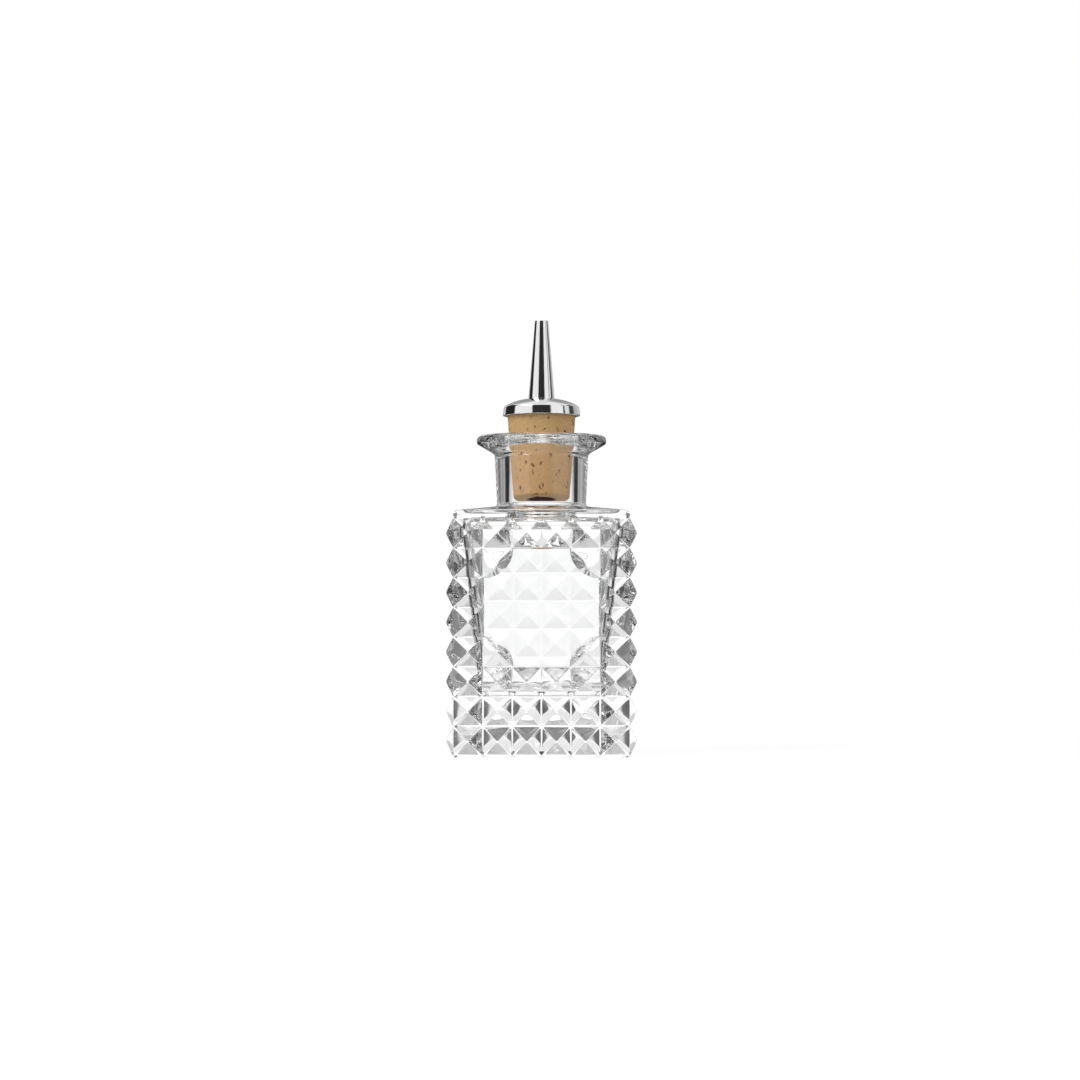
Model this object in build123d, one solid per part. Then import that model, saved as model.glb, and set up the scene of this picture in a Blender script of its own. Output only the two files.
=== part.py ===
from build123d import *
import math
import os

# Bitters bottle: a square pressed-glass bottle with a dash stopper that lifts out of its neck.
# Millimetres. Z is up, the origin is the centre of the base, and the front panel faces -Y.

# Pressed pattern: square pyramid studs in columns and rows on all four sides
column_count = 6
row_count = 8
column_pitch = 8.16
row_pitch = 8.25
stud_height = 2.14

# Glass body, measured at the bottoms of the valleys between the studs
foot_band = 0.35
shoulder_band = 2.15
shoulder_rise = 1.9
shoulder_edge_radius = 1.4
shoulder_land = 1.8
punt_radius = 19.0
punt_depth = 1.0

# Smooth front panel: a block of studs is left out, its corners cut off by a circle
panel_column_count = 4
panel_row_count = 4
panel_rows_below = 3
panel_depth = 0.35
panel_draft = 45.0

# Hollow of the body
floor_thickness = 17.0
floor_half_width = 17.8
ceiling_half_width = 22.0
floor_corner_radius = 4.6
ceiling_corner_radius = 4.2
floor_edge_radius = 3.2
ceiling_edge_radius = 3.5
shoulder_wall = 3.8

# Neck and lip
neck_foot_radius = 12.65
neck_top_radius = 13.35
neck_flare_radius = 1.2
neck_height = 15.1
lip_radius = 18.5
lip_underside_rise = 3.0
lip_edge_height = 2.2
lip_top_round = 1.3
lip_low_round = 0.8
lip_root_round = 2.0
throat_round = 2.0
throat_land = 3.0
mouth_round = 3.0
mouth_land = 4.0
bore_draft = 0.22

# Tapered cork
cork_length = 26.75
cork_bottom_radius = 8.0
cork_top_radius = 9.87
cork_insertion = 18.7
cork_edge_round = 0.7
cork_bore_radius = 3.8
cork_bore_bevel = 0.3
cork_fit = 0.15

# Stem tube pressed into the cork from above
stem_length = 14.0
stem_wall = 0.4
stem_flange_radius = 6.0
stem_flange_thickness = 0.6
stem_fit = 0.05

# Cap
cap_wall = 0.84
cap_skirt_depth = 2.3
cap_skirt_gap = 0.34
cap_skirt_flare = 0.31
cap_rim_rise = 0.35
cap_dome_rise = 2.2
cap_dome_radius = 33.0
cap_shoulder_round = 0.8
cap_hem_round = 0.2

# Pour spout
spout_height = 22.4
spout_base_radius = 3.48
spout_tip_radius = 1.75
spout_wall = 0.55
spout_shoulder = 0.28
spout_seat_margin = 0.15
spout_tip_round = 0.2

# Dash insert
insert_length = 4.0
insert_orifice_radius = 0.8
insert_funnel_radius = 2.4
insert_funnel_depth = 2.5
metal_fit = 0.05

# Lengths that cutters run past the faces they open
overrun = 5.0

# Worked out from the sizes above
half_width = column_count * column_pitch / 2
studs_top = foot_band + row_count * row_pitch
shoulder_edge = studs_top + shoulder_band
neck_foot = shoulder_edge + shoulder_rise
neck_top = neck_foot + neck_height
lip_edge_low = neck_top + lip_underside_rise
lip_top = lip_edge_low + lip_edge_height
ceiling = neck_foot - shoulder_wall
land_half_width = neck_foot_radius + shoulder_land

cork_bottom = lip_top - cork_insertion
cork_top = cork_bottom + cork_length
cork_slope = (cork_top_radius - cork_bottom_radius) / cork_length
cork_seat = lip_top - mouth_round
bore_mouth_radius = cork_bottom_radius + cork_slope * (cork_seat - cork_bottom) + cork_fit
bore_foot_radius = bore_mouth_radius + bore_draft

stem_radius = cork_bore_radius - stem_fit
stem_bore_radius = stem_radius - stem_wall
spigot_radius = spout_base_radius - spout_shoulder
spout_seat = cork_top + cap_rim_rise + cap_dome_rise
cap_hem_inner_radius = cork_top_radius + cap_skirt_gap
cap_hem_radius = cap_hem_inner_radius + cap_wall
cap_rim_radius = cap_hem_radius - cap_skirt_flare
insert_radius = stem_bore_radius - metal_fit


def turned(outline):
    """Solid of revolution about Z from a closed outline drawn as radius and height."""
    return revolve(Plane.XZ * outline, axis=Axis.Z)


def rounded(outline, corner, radius):
    """The outline with its vertex at the given corner rounded."""
    vertex = outline.vertices().sort_by_distance(corner)[0]
    return fillet(vertex, radius)


def sawtooth_plan():
    """Plan of the studded body: one tooth for each column, on four sides."""
    front = []
    for column in range(column_count):
        valley = column * column_pitch - half_width
        front.append(Vector(valley, -half_width))
        front.append(Vector(valley + column_pitch / 2, -half_width - stud_height))
    points = [point.rotate(Axis.Z, 90 * side) for side in range(4) for point in front]
    return make_face(Polyline(*points, close=True))


def sawtooth_elevation():
    """Elevation of the studded body: one tooth for each row, then the sloping shoulder."""
    right = [(half_width, 0)]
    for row in range(row_count):
        valley = foot_band + row * row_pitch
        right.append((half_width, valley))
        right.append((half_width + stud_height, valley + row_pitch / 2))
    right.append((half_width, studs_top))
    right.append((half_width, shoulder_edge))
    right.append((land_half_width, neck_foot))
    left = [(-across, height) for across, height in reversed(right)]
    outline = make_face(Polyline(*right, *left, close=True))
    for side in (-1, 1):
        outline = rounded(outline, (side * half_width, shoulder_edge), shoulder_edge_radius)
    return outline


def studded_body():
    """Solid body: where the sawtooth plan and both sawtooth elevations meet, teeth become pyramids."""
    reach = half_width + stud_height + overrun
    elevation = sawtooth_elevation()
    across = extrude(Plane.XZ * elevation, reach, both=True)
    along = extrude(Plane.YZ * elevation, reach, both=True)
    upright = extrude(sawtooth_plan(), neck_foot)
    return upright & across & along


def neck_and_lip():
    """Solid neck with its flared foot and the thick rounded lip."""
    outline = make_face(
        Polyline(
            (0, shoulder_edge),
            (land_half_width, shoulder_edge),
            (land_half_width, neck_foot),
            (neck_foot_radius, neck_foot),
            (neck_top_radius, neck_top),
            (lip_radius, lip_edge_low),
            (lip_radius, lip_top),
            (0, lip_top),
            close=True,
        )
    )
    outline = rounded(outline, (neck_foot_radius, neck_foot), neck_flare_radius)
    outline = rounded(outline, (neck_top_radius, neck_top), lip_root_round)
    outline = rounded(outline, (lip_radius, lip_edge_low), lip_low_round)
    outline = rounded(outline, (lip_radius, lip_top), lip_top_round)
    return turned(outline)


def body_hollow():
    """Hollow of the body: it widens upwards, with rounded corners, floor and ceiling edges."""
    floor = Pos(0, 0, floor_thickness) * RectangleRounded(
        2 * floor_half_width, 2 * floor_half_width, floor_corner_radius
    )
    top = Pos(0, 0, ceiling) * RectangleRounded(
        2 * ceiling_half_width, 2 * ceiling_half_width, ceiling_corner_radius
    )
    hollow = loft([floor, top])
    hollow = fillet(hollow.edges().group_by(Axis.Z)[0], floor_edge_radius)
    return fillet(hollow.edges().group_by(Axis.Z)[-1], ceiling_edge_radius)


def neck_bore():
    """Bore of the neck, opening out with rounded edges into the hollow and at the mouth."""
    outline = make_face(
        Polyline(
            (0, ceiling - throat_land),
            (bore_foot_radius + throat_land, ceiling - throat_land),
            (bore_foot_radius + throat_land, ceiling),
            (bore_foot_radius, ceiling),
            (bore_mouth_radius, lip_top),
            (bore_mouth_radius + mouth_land, lip_top),
            (bore_mouth_radius + mouth_land, lip_top + overrun),
            (0, lip_top + overrun),
            close=True,
        )
    )
    outline = rounded(outline, (bore_foot_radius, ceiling), throat_round)
    outline = rounded(outline, (bore_mouth_radius, lip_top), mouth_round)
    return turned(outline)


def front_panel():
    """Cutter for the smooth panel: a block of whole studs, its corners cut off by a sloping round wall."""
    inset = panel_depth * math.tan(math.radians(panel_draft))
    panel_half_width = panel_column_count * column_pitch / 2
    panel_height = panel_row_count * row_pitch
    centre = foot_band + panel_rows_below * row_pitch + panel_height / 2
    corner_radius = math.hypot(panel_half_width, row_pitch) - inset
    outline = Rectangle(2 * (panel_half_width - inset), panel_height - 2 * inset) & Circle(corner_radius)
    start = Pos(0, -half_width + panel_depth, centre) * Rot(90, 0, 0)
    return extrude(start * outline, stud_height + 2 * panel_depth, taper=-panel_draft)


def base_punt():
    """Shallow dish under the base."""
    sphere_radius = (punt_radius**2 + punt_depth**2) / (2 * punt_depth)
    return Pos(0, 0, punt_depth - sphere_radius) * Sphere(sphere_radius)


def glass_bottle():
    """One piece of pressed glass."""
    bottle = studded_body() + neck_and_lip()
    bottle -= body_hollow()
    bottle -= neck_bore()
    bottle -= front_panel()
    bottle -= base_punt()
    return bottle


def cork_stopper():
    """Tapered cork, bored through, with a seat for the stem's flange in its top."""
    outline = make_face(
        Polyline(
            (cork_bore_radius, cork_bottom),
            (cork_bottom_radius, cork_bottom),
            (cork_top_radius, cork_top),
            (stem_flange_radius + stem_fit, cork_top),
            (stem_flange_radius + stem_fit, cork_top - stem_flange_thickness),
            (cork_bore_radius, cork_top - stem_flange_thickness),
            close=True,
        )
    )
    outline = rounded(outline, (cork_bottom_radius, cork_bottom), cork_edge_round)
    outline = rounded(outline, (cork_bore_radius, cork_bottom), cork_bore_bevel)
    return turned(outline)


def stem_tube():
    """Flanged tube that lines the upper part of the cork's bore."""
    outline = make_face(
        Polyline(
            (stem_bore_radius, cork_top - stem_length),
            (stem_radius, cork_top - stem_length),
            (stem_radius, cork_top - stem_flange_thickness),
            (stem_flange_radius, cork_top - stem_flange_thickness),
            (stem_flange_radius, cork_top),
            (stem_bore_radius, cork_top),
            close=True,
        )
    )
    return turned(outline)


def spout_cap():
    """Domed cap with a short flared skirt, bored for the spout, flat where the spout stands."""
    seat_radius = spout_base_radius + spout_seat_margin
    rim = (cap_rim_radius, cork_top + cap_rim_rise)
    seat = (seat_radius, spout_seat)
    edges = Polyline(
        seat,
        (spigot_radius + metal_fit, spout_seat),
        (spigot_radius + metal_fit, cork_top),
        (cap_hem_inner_radius - cap_skirt_flare, cork_top),
        (cap_hem_inner_radius, cork_top - cap_skirt_depth),
        (cap_hem_radius, cork_top - cap_skirt_depth),
        rim,
    )
    dome = RadiusArc(rim, seat, -cap_dome_radius)
    outline = make_face(edges + dome)
    outline = rounded(outline, rim, cap_shoulder_round)
    outline = rounded(outline, (cap_hem_radius, cork_top - cap_skirt_depth), cap_hem_round)
    return turned(outline)


def pour_spout():
    """Tapered open tube that stands on the cap, with a spigot through the cap's hole."""
    tip = spout_seat + spout_height
    outline = make_face(
        Polyline(
            (spigot_radius - spout_wall, cork_top),
            (spigot_radius, cork_top),
            (spigot_radius, spout_seat),
            (spout_base_radius, spout_seat),
            (spout_tip_radius, tip),
            (spout_tip_radius - spout_wall, tip),
            (spigot_radius - spout_wall, spout_seat),
            close=True,
        )
    )
    outline = rounded(outline, (spout_tip_radius, tip), spout_tip_round)
    return turned(outline)


def dash_insert():
    """Plug in the top of the stem tube: a funnel below, then the small dash hole."""
    outline = make_face(
        Polyline(
            (insert_funnel_radius, cork_top - insert_length),
            (insert_radius, cork_top - insert_length),
            (insert_radius, cork_top),
            (insert_orifice_radius, cork_top),
            (insert_orifice_radius, cork_top - insert_length + insert_funnel_depth),
            close=True,
        )
    )
    return turned(outline)


nodes = {
    "glass_bottle": glass_bottle,
    "cork_stopper": cork_stopper,
    "stem_tube": stem_tube,
    "spout_cap": spout_cap,
    "pour_spout": pour_spout,
    "dash_insert": dash_insert,
}

os.makedirs("parts", exist_ok=True)
for name, make in nodes.items():
    export_step(make(), f"parts/{name}.step")
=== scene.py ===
import logging
import math
from dataclasses import dataclass
from enum import Enum

import bmesh
import bpy
from bpy.types import Material, Node, NodeSocket, NodeTree, Object
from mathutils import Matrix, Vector


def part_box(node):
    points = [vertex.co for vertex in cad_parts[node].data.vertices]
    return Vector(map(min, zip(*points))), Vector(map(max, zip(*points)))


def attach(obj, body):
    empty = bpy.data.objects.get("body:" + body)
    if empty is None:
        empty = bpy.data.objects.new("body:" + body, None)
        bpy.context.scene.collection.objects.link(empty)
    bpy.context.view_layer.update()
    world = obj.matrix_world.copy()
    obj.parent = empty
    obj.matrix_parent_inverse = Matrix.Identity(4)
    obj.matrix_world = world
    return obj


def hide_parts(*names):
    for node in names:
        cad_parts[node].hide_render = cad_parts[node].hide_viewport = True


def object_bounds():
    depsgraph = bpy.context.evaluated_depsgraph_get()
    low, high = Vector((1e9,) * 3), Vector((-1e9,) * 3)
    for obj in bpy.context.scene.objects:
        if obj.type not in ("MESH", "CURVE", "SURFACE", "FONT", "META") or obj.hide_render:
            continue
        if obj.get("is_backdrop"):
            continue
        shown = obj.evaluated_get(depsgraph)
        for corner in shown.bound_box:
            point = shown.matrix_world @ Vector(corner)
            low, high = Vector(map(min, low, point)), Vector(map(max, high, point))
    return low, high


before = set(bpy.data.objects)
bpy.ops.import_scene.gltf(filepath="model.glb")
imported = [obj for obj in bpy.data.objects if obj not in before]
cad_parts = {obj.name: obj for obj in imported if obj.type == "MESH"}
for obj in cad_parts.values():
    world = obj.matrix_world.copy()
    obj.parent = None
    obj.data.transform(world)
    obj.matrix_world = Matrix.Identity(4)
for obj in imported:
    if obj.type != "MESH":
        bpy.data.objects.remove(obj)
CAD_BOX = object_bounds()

# Looks of the bitters bottle: pressed glass, cork, polished metal, and the studio around it.
# Metres, Z up, the front panel faces -Y.

MM = 0.001
WHITE = (1.0, 1.0, 1.0)
LOG = logging.getLogger("bitters_bottle")

Point = tuple[float, float, float]
Pair = tuple[float, float]
Profile = list[Pair]
Rows = list[list[Point]]
Bands = list[tuple[float, list[Pair]]]


class Carrier(Enum):
    """The two bodies that pieces ride on."""

    BOTTLE = "bottle"
    STOPPER = "stopper"


@dataclass(frozen=True)
class Value:
    """What comes out of a node of a graph; a sum with it adds the Math node it needs."""

    graph: "Graph"
    socket: NodeSocket

    def __sub__(self, other: object) -> "Value":
        """The value less the other."""
        return self.graph.math("SUBTRACT", self, other)

    def __mul__(self, other: object) -> "Value":
        """The product of both."""
        return self.graph.math("MULTIPLY", self, other)


@dataclass
class Graph:
    """Adds and wires the nodes of one shader or geometry tree."""

    tree: NodeTree

    def feed(self, target: NodeSocket, value: object) -> None:
        """Link a value to an input, or set the input's own value.

        Args:
            target: the input.
            value: a value of the graph, a colour of three numbers, or what else the input holds.
        """
        if isinstance(value, Value):
            self.tree.links.new(value.socket, target)
        else:
            target.default_value = (*value, 1.0) if target.type == "RGBA" else value

    def add(self, kind: str, inputs: dict | None = None, **settings: object) -> Node:
        """Add a node.

        Args:
            kind: the node's type name.
            inputs: input name or index to what it gets.
            **settings: the node's own properties.

        Returns:
            The new node.
        """
        node = self.tree.nodes.new(kind)
        for name, value in settings.items():
            setattr(node, name, value)
        for name, value in (inputs or {}).items():
            self.feed(node.inputs[name], value)
        return node

    def take(
        self, kind: str, inputs: dict | None = None, output: int | str = 0, **settings: object
    ) -> Value:
        """Add a node and take one of its outputs, by name or index."""
        return Value(self, self.add(kind, inputs, **settings).outputs[output])

    def outputs(self, kind: str, inputs: dict | None = None) -> dict[str, Value]:
        """Add a node and take all its outputs by name."""
        return {socket.name: Value(self, socket) for socket in self.add(kind, inputs).outputs}

    def math(self, operation: str, *values: object) -> Value:
        """Add a Math node with its inputs in order."""
        return self.take("ShaderNodeMath", dict(enumerate(values)), operation=operation)

    def fit(
        self, value: Value, start: object, end: object, low: float = 0.0, high: float = 1.0
    ) -> Value:
        """Map a value's run from start to end on to low to high, and stop it there."""
        inputs = {"Value": value, "From Min": start, "From Max": end, "To Min": low, "To Max": high}
        return self.take("ShaderNodeMapRange", inputs)

    def blend(self, factor: Value, first: object, second: object) -> Value:
        """Mix two colours, at the node's sockets 6, 7 and 2; the factor is the second's share."""
        return self.take("ShaderNodeMix", {0: factor, 6: first, 7: second}, 2, data_type="RGBA")

    def stretch(self, vector: Value, by: object) -> Value:
        """Multiply a vector or colour by another, axis by axis."""
        return self.take("ShaderNodeVectorMath", {0: vector, 1: by}, operation="MULTIPLY")

    def length(self, vector: Value) -> Value:
        """Length of a vector."""
        return self.take("ShaderNodeVectorMath", {0: vector}, "Value", operation="LENGTH")

    def cloud(self, scale: float, detail: float) -> Value:
        """Noise in object coordinates, of so many cells to the metre and octaves of finer noise."""
        place = self.take("ShaderNodeTexCoord", output="Object")
        return self.take("ShaderNodeTexNoise", {"Vector": place, "Scale": scale, "Detail": detail})

    def surface(self, shader: Value) -> None:
        """End a material in a shader."""
        self.add("ShaderNodeOutputMaterial", {"Surface": shader})

    def ramp(self, factor: Value, levels: list[Pair], start: float, span: float) -> Value:
        """Read a grey level along a ramp.

        Args:
            factor: where along the ramp to read, from 0 to 1.
            levels: angle in degrees and level of each stop, in order.
            start: degrees below zero at which the ramp starts.
            span: degrees from the ramp's start to its end.

        Returns:
            The level.
        """
        node = self.add("ShaderNodeValToRGB", {"Fac": factor})
        elements = node.color_ramp.elements
        while len(elements) > len(levels):
            elements.remove(elements[-1])
        while len(elements) < len(levels):
            elements.new(0.5)
        for element, (angle, level) in zip(elements, levels):
            element.position = (angle + start) / span
            element.color = (*grey(level), 1.0)
        return Value(self, node.outputs["Color"])

    def push(self, geometry: Value, reach: Value) -> Value:
        """Move geometry along its normals.

        Args:
            geometry: what is moved.
            reach: how far, outward.

        Returns:
            The moved geometry.
        """
        shift = {0: self.take("GeometryNodeInputNormal"), "Scale": reach}
        offset = self.take("ShaderNodeVectorMath", shift, operation="SCALE")
        return self.take("GeometryNodeSetPosition", {"Geometry": geometry, "Offset": offset})


def grey(level: float) -> Point:
    """The grey of a level."""
    return (level, level, level)


def srgb(red: int, green: int, blue: int) -> Point:
    """Linear colour of an sRGB colour given from 0 to 255."""
    return tuple((value / 255) ** 2.2 for value in (red, green, blue))


def dimmed(colour: Point, share: float) -> Point:
    """A colour with a share of its light."""
    return tuple(share * value for value in colour)


def new_material(name: str) -> tuple[Material, Graph]:
    """Make an empty node material.

    Args:
        name: the material's name.

    Returns:
        The material and its graph.
    """
    material = bpy.data.materials.new(name)
    material.use_nodes = True
    material.node_tree.nodes.clear()
    return material, Graph(material.node_tree)


@dataclass(frozen=True)
class GlassFinish:
    """Clear pressed glass, faintly wavy from the mould, that lets soft light pass to the cork."""

    ior: float = 1.52
    clear: Point = (0.998, 1.0, 0.999)
    cloudy: Point = (0.99, 0.995, 0.994)
    cloud_scale: float = 40.0
    wave_scale: float = 170.0
    wave: float = 0.02
    passed: Point = (0.95, 0.955, 0.955)

    def material(self) -> Material:
        """Build the material.

        Returns:
            The glass.
        """
        material, graph = new_material("pressed_glass")
        waves = graph.cloud(self.wave_scale, detail=1.0)
        relief = {"Strength": self.wave, "Distance": MM, "Height": waves}
        clouds = graph.cloud(self.cloud_scale, detail=1.0)
        glass = {
            "Base Color": graph.blend(clouds, self.clear, self.cloudy),
            "Normal": graph.take("ShaderNodeBump", relief),
            "Roughness": 0.0,
            "IOR": self.ior,
            "Transmission Weight": 1.0,
        }
        seen = graph.take("ShaderNodeBsdfPrincipled", glass)
        clear = graph.take("ShaderNodeBsdfTransparent", {"Color": self.passed})
        path = graph.outputs("ShaderNodeLightPath")
        for ray in ("Is Diffuse Ray", "Is Shadow Ray"):
            seen = graph.take("ShaderNodeMixShader", {0: path[ray], 1: seen, 2: clear})
        graph.surface(seen)
        return material


@dataclass(frozen=True)
class PlainFinish:
    """Bright plated metal, or with other values moulded plastic, with haze and a fine ripple."""

    name: str
    colour: Point = (0.86, 0.86, 0.87)
    haze: Pair = (0.03, 0.09)
    dimming: float = 0.93
    haze_scale: float = 300.0
    haze_detail: float = 3.0
    ripple_scale: float = 500.0
    ripple: float = 0.02
    metallic: float = 1.0

    def material(self) -> Material:
        """Build the material.

        Returns:
            The metal or plastic.
        """
        material, graph = new_material(self.name)
        patches = graph.cloud(self.haze_scale, self.haze_detail)
        ripples = graph.cloud(self.ripple_scale, detail=1.0)
        relief = {"Strength": self.ripple, "Distance": MM, "Height": ripples}
        dress = {
            "Base Color": graph.blend(patches, self.colour, dimmed(self.colour, self.dimming)),
            "Roughness": graph.fit(patches, 0.0, 1.0, *self.haze),
            "Normal": graph.take("ShaderNodeBump", relief),
            "Metallic": self.metallic,
        }
        graph.surface(graph.take("ShaderNodeBsdfPrincipled", dress))
        return material


@dataclass(frozen=True)
class CorkFinish:
    """Natural cork: tan with soft mottling, fine grain and dark lenticels.

    Attributes:
        soaked_and_lit: how much lighter and redder the end in the neck is; the lighter part is
            painted light, standing in for the light that the glass holds back, and the redder part
            is a soak.
            soak_and_light_full, soak_and_light_reach: height up to which it is soaked and lit, and
            height at which that ends.
        bore_shade: painted shade, a dark red on the bore's wall and round its mouth, where the
            hollow lies in shadow.
            bore_shade_full, bore_shade_reach: the same for the painted shade, as distance from the
                axis.
    """

    light: Point = srgb(203, 170, 113)
    warm: Point = srgb(190, 146, 102)
    dark: Point = srgb(92, 55, 26)
    patch_scale: float = 120.0
    grain_scale: float = 1600.0
    grain_run: Pair = (0.35, 0.7)
    grain_share: float = 0.45
    grain_shade: float = 0.8
    grain_bump: float = 0.35
    grain_height: float = 0.1 * MM
    matt: Pair = (0.7, 0.9)
    soaked_and_lit: Point = (1.17, 1.1, 1.11)
    soak_and_light_full: float = 84.0 * MM
    soak_and_light_reach: float = 90.0 * MM
    bore_shade: Point = srgb(92, 40, 30)
    bore_shade_full: float = 3.9 * MM
    bore_shade_reach: float = 4.5 * MM

    def material(self) -> Material:
        """Build the material.

        Returns:
            The cork.
        """
        material, graph = new_material("natural_cork")
        base = graph.blend(graph.cloud(self.patch_scale, detail=2.0), self.light, self.warm)
        grain = graph.cloud(self.grain_scale, detail=3.0)
        speck = graph.fit(grain, *self.grain_run) * self.grain_share
        grained = graph.blend(speck, base, dimmed(self.warm, self.grain_shade))
        place = graph.take("ShaderNodeTexCoord", output="Object")
        height = graph.take("ShaderNodeSeparateXYZ", {0: place}, "Z")
        # Painted light: the end in the neck is made lighter, standing in for the light that the
        # glass holds back; it is also made redder, as a soak.
        soak_and_light = graph.fit(height, self.soak_and_light_reach, self.soak_and_light_full)
        soaked_and_lit = graph.stretch(grained, graph.blend(soak_and_light, WHITE, self.soaked_and_lit))
        # Painted shade: the bore and the ring round its mouth get a dark red, standing in for the
        # shadow in the hollow.
        across = graph.length(graph.stretch(place, (1.0, 1.0, 0.0)))
        bore = graph.fit(across, self.bore_shade_reach, self.bore_shade_full)
        pit = graph.take("ShaderNodeAttribute", output="Fac", attribute_name="pit")
        relief = {"Strength": self.grain_bump, "Distance": self.grain_height, "Height": grain}
        dress = {
            "Base Color": graph.blend(bore, graph.blend(pit, soaked_and_lit, self.dark), self.bore_shade),
            "Normal": graph.take("ShaderNodeBump", relief),
            "Roughness": graph.fit(grain, 0.0, 1.0, *self.matt),
        }
        graph.surface(graph.take("ShaderNodeBsdfPrincipled", dress))
        return material


def rounded_path(corners: list[Point], steps: int = 6) -> Profile:
    """A path of straight runs with an arc at each corner that has a radius.

    Args:
        corners: radius from the axis, height, and corner radius of each corner.
        steps: segments in each arc.

    Returns:
        The path's points as radius and height.
    """
    path: Profile = []
    last = len(corners) - 1
    for index, (across, height, radius) in enumerate(corners):
        here = Vector((across, height))
        if radius == 0 or index in (0, last):
            path.append((across, height))
            continue
        before = (Vector(corners[index - 1][:2]) - here).normalized()
        after = (Vector(corners[index + 1][:2]) - here).normalized()
        half_angle = before.angle(after) / 2
        reach = radius / math.tan(half_angle)
        centre = here + (before + after).normalized() * (radius / math.sin(half_angle))
        start, end = here + before * reach - centre, here + after * reach - centre
        turn = start.angle_signed(end)
        for step in range(steps + 1):
            angle = -turn * step / steps
            cos, sin = math.cos(angle), math.sin(angle)
            spoke = Vector((start.x * cos - start.y * sin, start.x * sin + start.y * cos))
            path.append(tuple(centre + spoke))
    return path


def new_object(name: str, data: object) -> Object:
    """Put a mesh, a camera or a lamp into the scene as an object at the origin.

    Args:
        name: the object's name.
        data: its mesh, camera or lamp.

    Returns:
        The object.
    """
    made = bpy.data.objects.new(name, data)
    bpy.context.scene.collection.objects.link(made)
    return made


def finished(name: str, built: bmesh.types.BMesh) -> Object:
    """Turn a mesh that has been built into an object.

    Args:
        name: the object's name.
        built: the mesh, which is freed.

    Returns:
        The object.
    """
    mesh = bpy.data.meshes.new(name)
    built.to_mesh(mesh)
    built.free()
    return new_object(name, mesh)


def skin(name: str, shells: list[Rows], closed: bool = False) -> Object:
    """Skin rows of rings with quads, and close each single-point row as a pole.

    Args:
        name: the object's name.
        shells: for each shell its rows, each a list of points; a row of one point is a pole.
        closed: whether the last row joins the first.

    Returns:
        The object, its faces to the left of the rows' direction of travel.
    """
    built = bmesh.new()
    for rows in shells:
        made = [[built.verts.new(point) for point in row] for row in rows]
        pairs = list(zip(made, made[1:])) + ([(made[-1], made[0])] if closed else [])
        for lower, upper in pairs:
            count = max(len(lower), len(upper))
            for index in range(count):
                ahead = (index + 1) % count
                if len(lower) == 1:
                    corners = lower[0], upper[ahead], upper[index]
                elif len(upper) == 1:
                    corners = lower[index], lower[ahead], upper[0]
                else:
                    corners = lower[index], lower[ahead], upper[ahead], upper[index]
                built.faces.new(corners)
    return finished(name, built)


def lathe(name: str, path: Profile, segments: int) -> Object:
    """Turn a closed profile about Z.

    Args:
        name: the object's name.
        path: radius and height of each point, counter-clockwise with the radius to the right.
        segments: faces around the axis.

    Returns:
        The object.
    """
    turns = [2 * math.pi * index / segments for index in range(segments)]
    rows = [[(r * math.cos(a), r * math.sin(a), z) for a in turns] for r, z in path]
    return skin(name, [rows], closed=True)


def smooth(piece: Object, crease: float, even: bool = True) -> None:
    """Shade a piece smooth, with sharp edges.

    Args:
        piece: the piece.
        crease: degrees between two faces from which their edge is sharp.
        even: whether the larger faces weigh more, so that they reflect without bending.
    """
    built = bmesh.new()
    built.from_mesh(piece.data)
    for face in built.faces:
        face.smooth = True
    for edge in built.edges:
        edge.smooth = edge.calc_face_angle(0.0) < math.radians(crease)
    built.to_mesh(piece.data)
    built.free()
    if even:
        piece.modifiers.new("facets", "WEIGHTED_NORMAL").keep_sharp = True
        settle(piece)


def settle(piece: Object) -> None:
    """Replace a piece's mesh by its evaluated one and drop its modifiers.

    Args:
        piece: the piece.
    """
    graph = bpy.context.evaluated_depsgraph_get()
    shown = piece.evaluated_get(graph)
    mesh = bpy.data.meshes.new_from_object(shown, preserve_all_data_layers=True, depsgraph=graph)
    piece.modifiers.clear()
    piece.data = mesh


def add_tree(piece: Object, tree: NodeTree, values: dict[str, object]) -> None:
    """Shape a piece by a geometry tree and keep the result as its mesh.

    Args:
        piece: the object.
        tree: the geometry tree.
        values: input name to value.
    """
    modifier = piece.modifiers.new(tree.name, "NODES")
    modifier.node_group = tree
    for item in tree.interface.items_tree:
        if item.name in values:
            modifier[item.identifier] = values[item.name]
    settle(piece)


def new_geometry_tree(name: str, values: dict[str, object]) -> tuple[Graph, dict[str, Value]]:
    """Start a geometry tree.

    Args:
        name: the tree's name.
        values: name of each input to what it will get, which settles its kind.

    Returns:
        The tree's graph, and what comes out of its inputs.
    """
    kinds = {int: "Int", float: "Float", Object: "Object", Material: "Material"}
    tree = bpy.data.node_groups.new(name, "GeometryNodeTree")
    tree.interface.new_socket("Geometry", in_out="INPUT", socket_type="NodeSocketGeometry")
    for label, value in values.items():
        kind = f"NodeSocket{kinds[type(value)]}"
        tree.interface.new_socket(label, in_out="INPUT", socket_type=kind)
    tree.interface.new_socket("Geometry", in_out="OUTPUT", socket_type="NodeSocketGeometry")
    graph = Graph(tree)
    return graph, graph.outputs("NodeGroupInput")


def finish_tree(graph: Graph, geometry: Value, material: Value) -> NodeTree:
    """End a geometry tree in realised instances, a set material and the group's output.

    Args:
        graph: the tree's graph.
        geometry: what it has made.
        material: the material it gets.

    Returns:
        The tree.
    """
    solid = graph.take("GeometryNodeRealizeInstances", {"Geometry": geometry})
    dressed = graph.take("GeometryNodeSetMaterial", {"Geometry": solid, "Material": material})
    graph.add("NodeGroupOutput", {0: dressed})
    return graph.tree


@dataclass(frozen=True)
class HollowEnd:
    """Half width, corner and edge radius of the hollow, and 1 if its walls rise there, else -1."""

    half: float
    corner: float
    edge: float
    rise: int


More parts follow.
